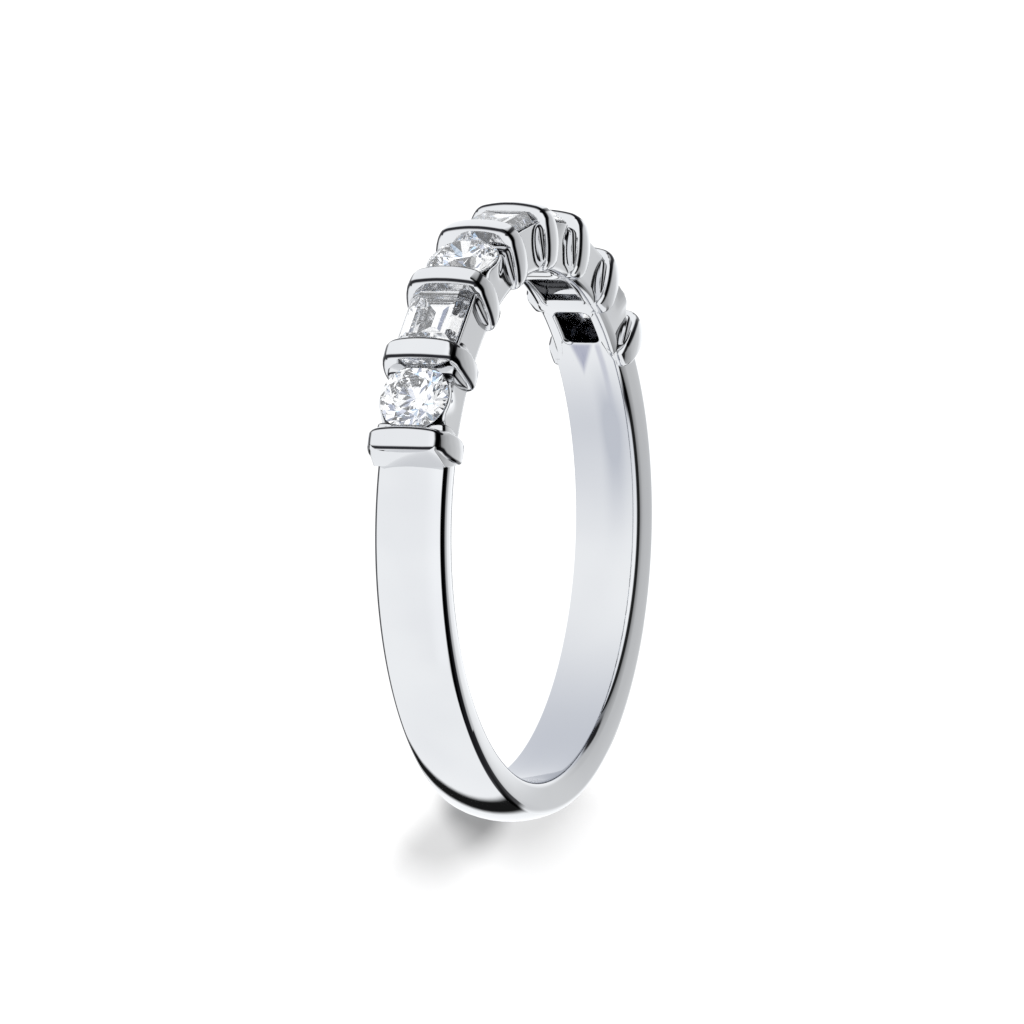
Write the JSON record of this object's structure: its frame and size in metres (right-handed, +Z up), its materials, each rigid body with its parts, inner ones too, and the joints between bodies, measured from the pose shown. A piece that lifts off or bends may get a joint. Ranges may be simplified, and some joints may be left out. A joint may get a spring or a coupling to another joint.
{
  "type": "diamond band",
  "caption": "Polished white metal band lying on its side, with round and baguette diamonds in turn between raised domed bars, over open windows to the finger hole.",
  "frame": {"origin": "on the axis of the finger hole, at the plane that the band rests on when it lies on its side", "axes": "+Z up along the finger hole, -Y towards the middle of the stone-set head, X across the band's width as seen from above"},
  "size_m": [0.0196, 0.0205, 0.003],
  "materials": {
    "white_metal": "high polish",
    "diamond": "polished facets"
  },
  "bodies": {
    "root": {"band": "white_metal", "round_stone_1": "diamond", "round_stone_2": "diamond", "round_stone_3": "diamond", "round_stone_4": "diamond", "baguette_stone_1": "diamond", "baguette_stone_2": "diamond", "baguette_stone_3": "diamond"}
  },
  "joints": []
}
